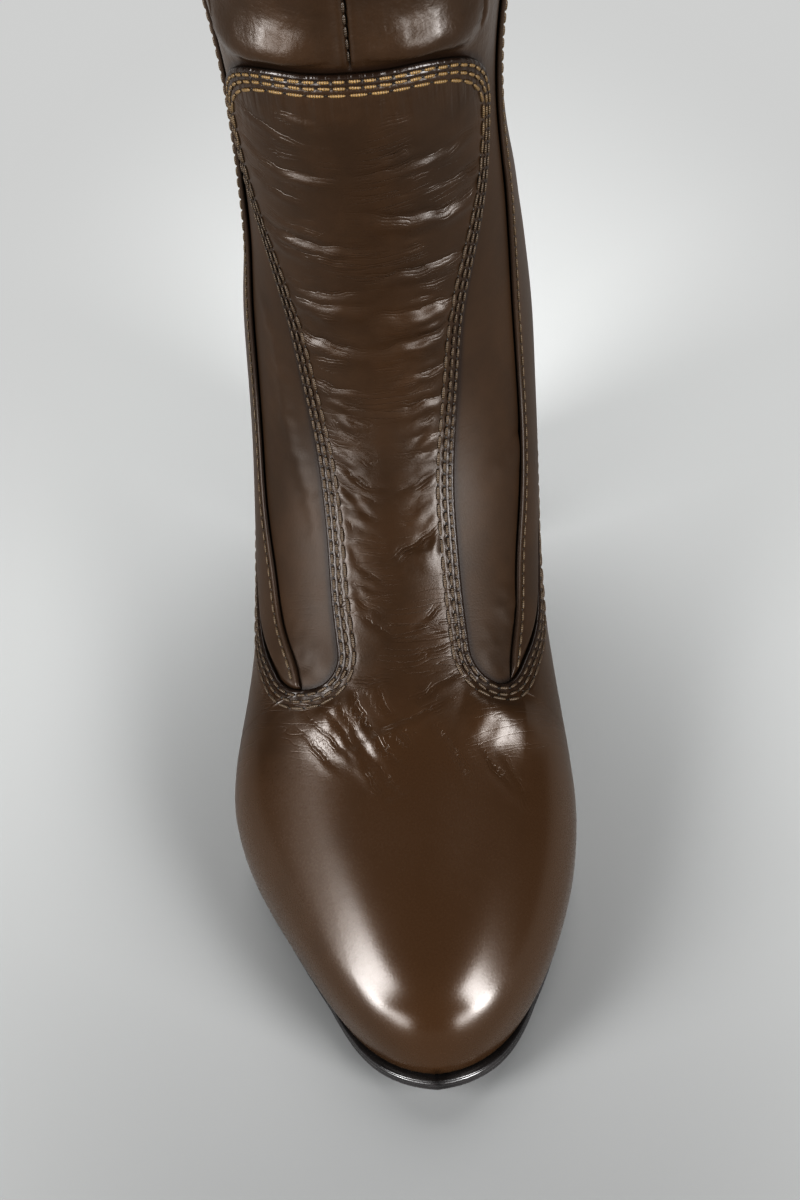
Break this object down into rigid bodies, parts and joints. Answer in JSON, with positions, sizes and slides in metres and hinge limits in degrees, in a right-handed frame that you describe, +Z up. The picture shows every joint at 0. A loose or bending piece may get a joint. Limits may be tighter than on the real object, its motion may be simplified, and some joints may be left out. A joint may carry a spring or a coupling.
{
  "type": "tall heeled boot",
  "caption": "Tall right-foot boot with a hollow leather upper, a vamp and shin panel sewn over it, a thin raised sole and a block heel.",
  "frame": {"origin": "on the floor, in the middle of the boot's box", "axes": "+Z up the shaft, -Y towards the toe, +X towards the inner side of the foot"},
  "size_m": [0.1138, 0.2425, 0.4301],
  "materials": {
    "upper": "glossy dark brown, smooth",
    "vamp": "glossy dark brown, smooth",
    "shaft_back": "glossy dark brown, smooth",
    "outsole": "polished black edge",
    "insole": "matt tan",
    "heel": "polished black"
  },
  "bodies": {
    "root": {"upper": "upper", "vamp": "vamp", "shaft_back": "shaft_back", "outsole": "outsole", "insole": "insole", "heel": "heel"}
  },
  "joints": []
}
